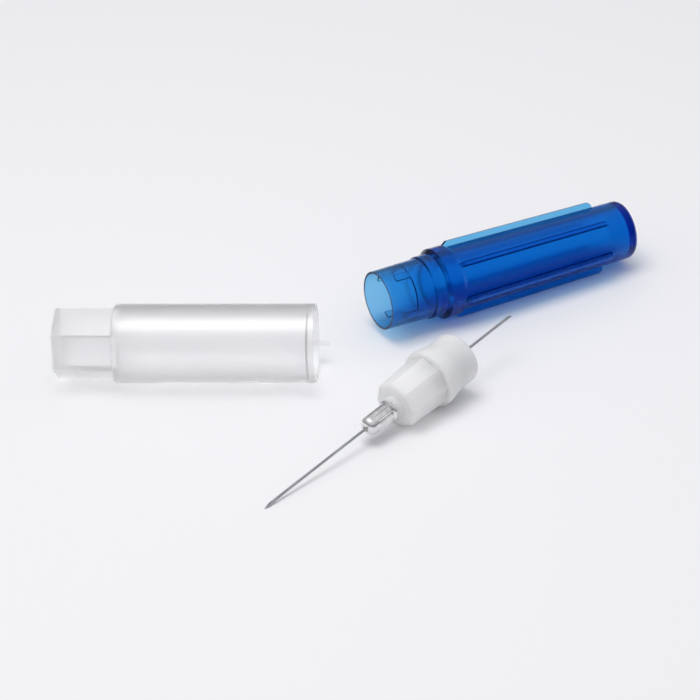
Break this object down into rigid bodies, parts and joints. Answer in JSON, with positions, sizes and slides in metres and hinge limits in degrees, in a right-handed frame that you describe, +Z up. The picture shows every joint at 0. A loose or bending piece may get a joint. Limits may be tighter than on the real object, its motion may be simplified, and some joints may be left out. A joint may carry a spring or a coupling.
{
  "type": "hypodermic needle",
  "caption": "Double-ended dental hypodermic needle with an octagonal plastic hub, laid beside its blue sheath and its frosted cap, both taken off.",
  "frame": {"origin": "On the floor that the three items lie on, under the middle of the group's bounding box.", "axes": "+Z up. +X along the cap's axis, from its closed end to its mouth, which is the group's longest side. +Y away from the viewer, across the group."},
  "size_m": [0.0862, 0.0748, 0.0117],
  "materials": {
    "cannula_steel": "drawn and polished steel tube",
    "ferrule_metal": "polished",
    "hub_plastic": "satin natural polypropylene, slightly translucent",
    "sheath_plastic": "smooth translucent blue moulding",
    "cap_plastic": "frosted translucent natural moulding"
  },
  "bodies": {
    "root": {"cannula": "cannula_steel", "ferrule": "ferrule_metal", "hub": "hub_plastic", "sheath": "sheath_plastic", "cap": "cap_plastic"}
  },
  "joints": []
}
